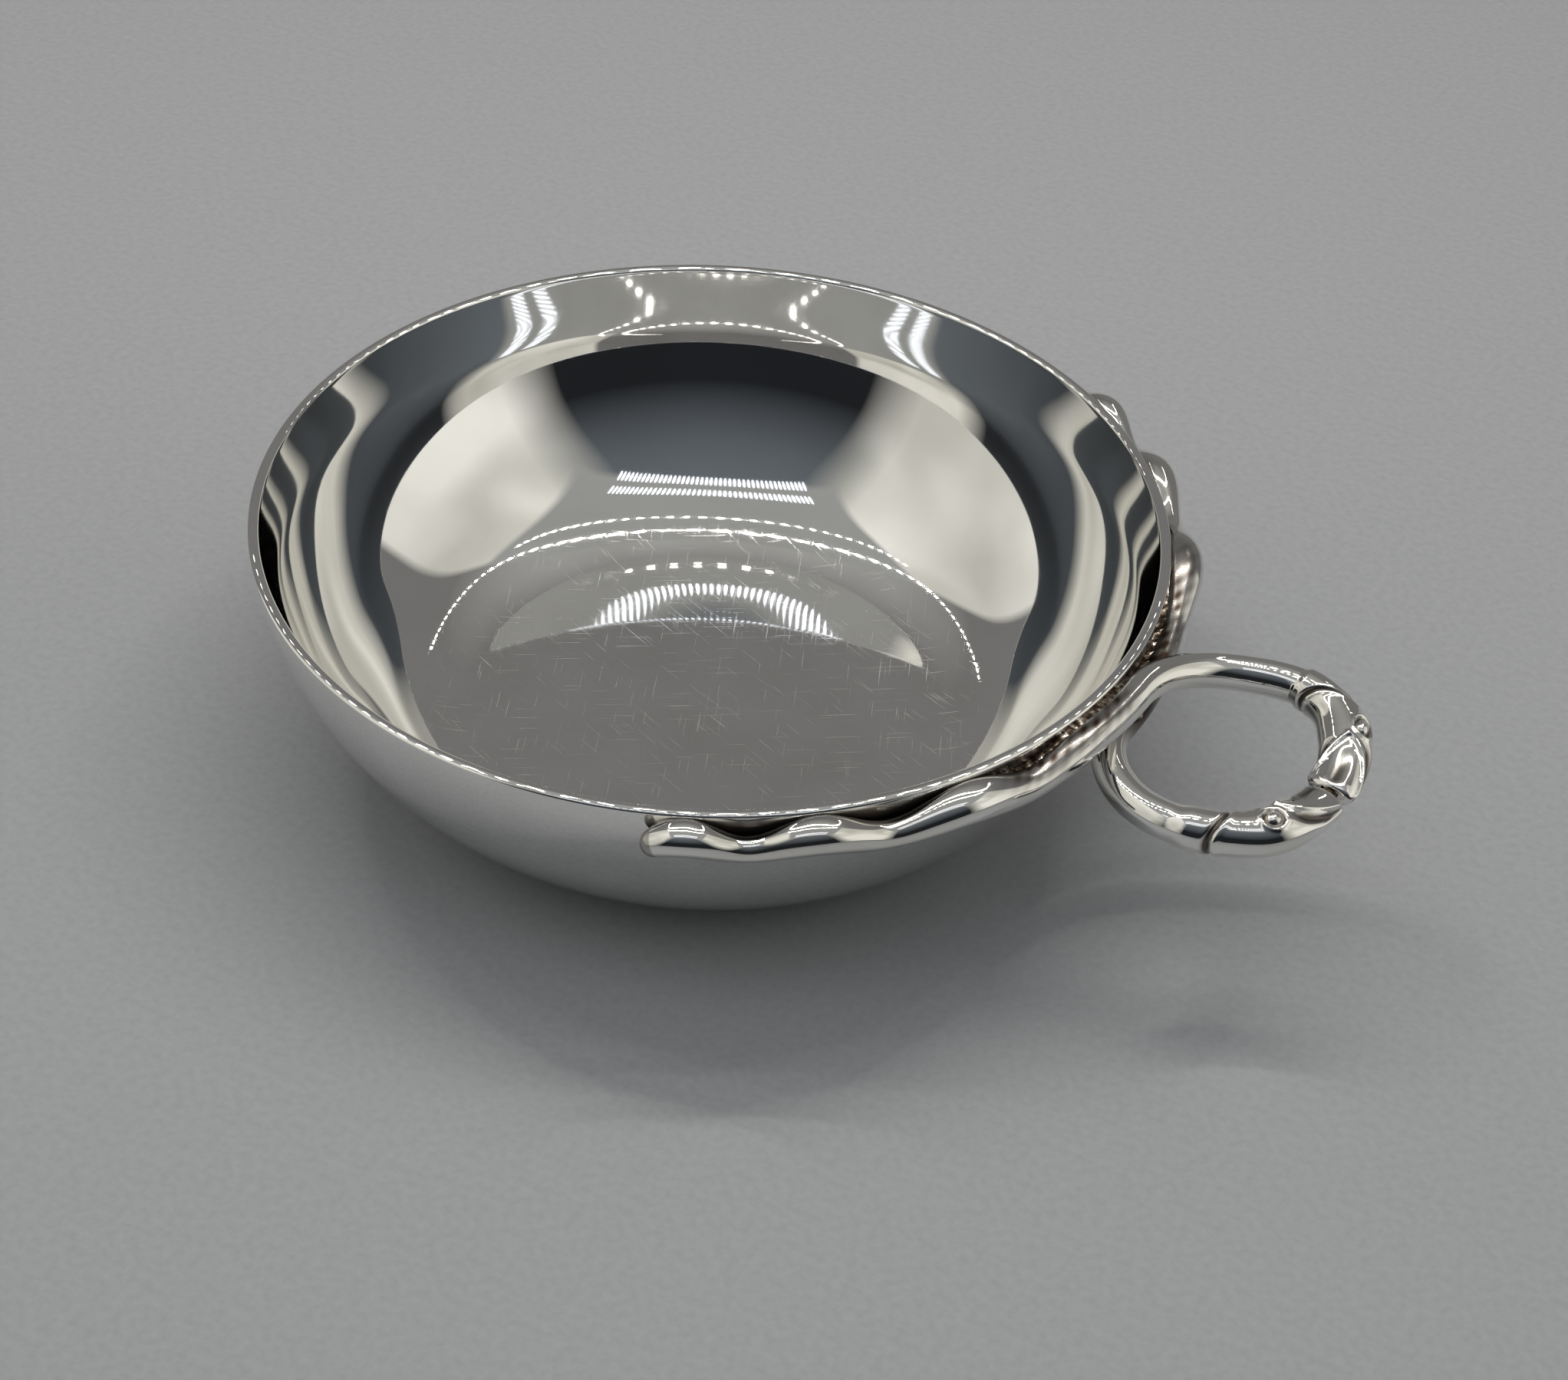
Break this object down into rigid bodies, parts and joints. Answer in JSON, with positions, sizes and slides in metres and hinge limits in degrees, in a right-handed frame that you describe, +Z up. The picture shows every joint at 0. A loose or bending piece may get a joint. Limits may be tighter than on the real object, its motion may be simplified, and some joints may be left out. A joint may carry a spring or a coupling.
{
  "type": "tastevin",
  "caption": "Shallow round silver wine-tasting bowl with a ring handle made of interlaced serpents whose tails wave under the rim and whose heads meet.",
  "frame": {"origin": "middle of the flat resting face under the bowl", "axes": "+X from the bowl's axis to the ring handle, +Z up through the open mouth"},
  "size_m": [0.1035, 0.082, 0.024],
  "materials": {
    "raised_silver": "mirror-polished silver with fine wear scratches",
    "cast_silver": "polished cast silver, darker in the grooves",
    "silver_solder": "rough unpolished solder"
  },
  "bodies": {
    "root": {"bowl": "raised_silver", "upper_serpent": "cast_silver", "lower_serpent": "cast_silver", "upper_tail_solder": "silver_solder", "lower_tail_solder": "silver_solder", "crossing_solder": "silver_solder", "jaw_solder": "silver_solder"}
  },
  "joints": []
}
